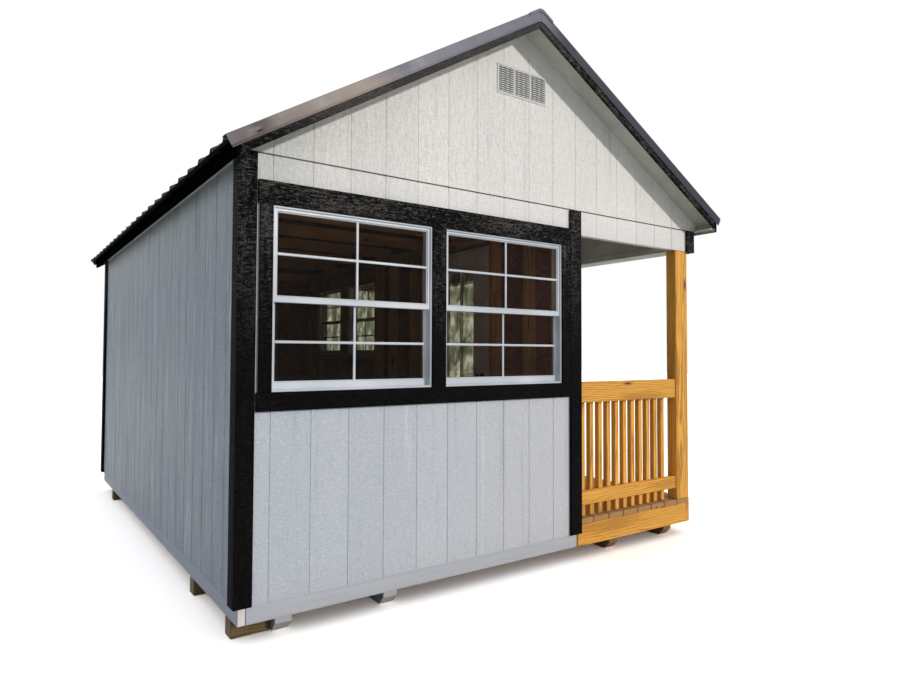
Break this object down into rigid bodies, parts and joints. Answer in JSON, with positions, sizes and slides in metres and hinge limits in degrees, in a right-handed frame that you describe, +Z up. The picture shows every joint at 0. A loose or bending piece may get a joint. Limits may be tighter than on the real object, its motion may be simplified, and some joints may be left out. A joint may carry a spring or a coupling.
{
  "type": "storage shed with porch",
  "caption": "Gabled wooden garden shed with grooved panel siding, dark trim, front windows, a ribbed metal roof and an open side porch with posts, rails and balusters.",
  "frame": {"origin": "centre of the bounding box's base, on the ground", "axes": "+X towards the porch side, +Y from the front gable to the back gable, +Z up"},
  "size_m": [3.684, 4.792, 3.4437],
  "materials": {
    "black_trim": "rough sawn boards with black stain",
    "brown_blocks": "weathered brown blocks",
    "door_paint": "white satin paint",
    "floor_sheet": "raw panel",
    "hardware": "satin",
    "raw_lumber": "sawn raw framing lumber",
    "roof_metal": "dark bronze semi gloss",
    "siding": "light grey satin paint on embossed grooved panels",
    "soffit": "pale grey green satin paint",
    "treated_pine": "smooth raw treated pine",
    "trim_metal": "dark bronze gloss",
    "vinyl": "white satin",
    "window_glass": "clear glossy"
  },
  "bodies": {
    "root": {"skids": "treated_pine", "support_blocks": "brown_blocks", "painted_rim": "siding", "porch_rim": "treated_pine", "floor_joists": "raw_lumber", "room_floor": "floor_sheet", "porch_deck": "treated_pine", "bottom_plates": "raw_lumber", "wall_studs": "raw_lumber", "wall_headers": "raw_lumber", "top_plates": "raw_lumber", "left_siding": "siding", "front_siding": "siding", "back_siding": "siding", "partition_siding": "siding", "gable_siding": "siding", "header_siding": "siding", "header_lining": "soffit", "porch_beam": "raw_lumber", "ceiling_ties": "raw_lumber", "rafters": "raw_lumber", "ridge_board": "raw_lumber", "porch_ceiling": "soffit", "roof_decking": "floor_sheet", "roof_sheets": "roof_metal", "ridge_cap": "trim_metal", "rake_flashing": "trim_metal", "rake_boards": "black_trim", "eave_fascias": "black_trim", "rake_soffits": "soffit", "eave_soffits": "soffit", "corner_boards": "black_trim", "porch_corner_boards": "black_trim", "window_trim": "black_trim", "window_frames": "vinyl", "window_sashes": "vinyl", "window_glass": "window_glass", "gable_vents": "siding", "door_frame": "door_paint", "door_leaf": "door_paint", "door_glass": "window_glass", "door_hardware": "hardware", "porch_posts": "treated_pine", "porch_rails": "treated_pine", "balusters": "treated_pine"}
  },
  "joints": []
}
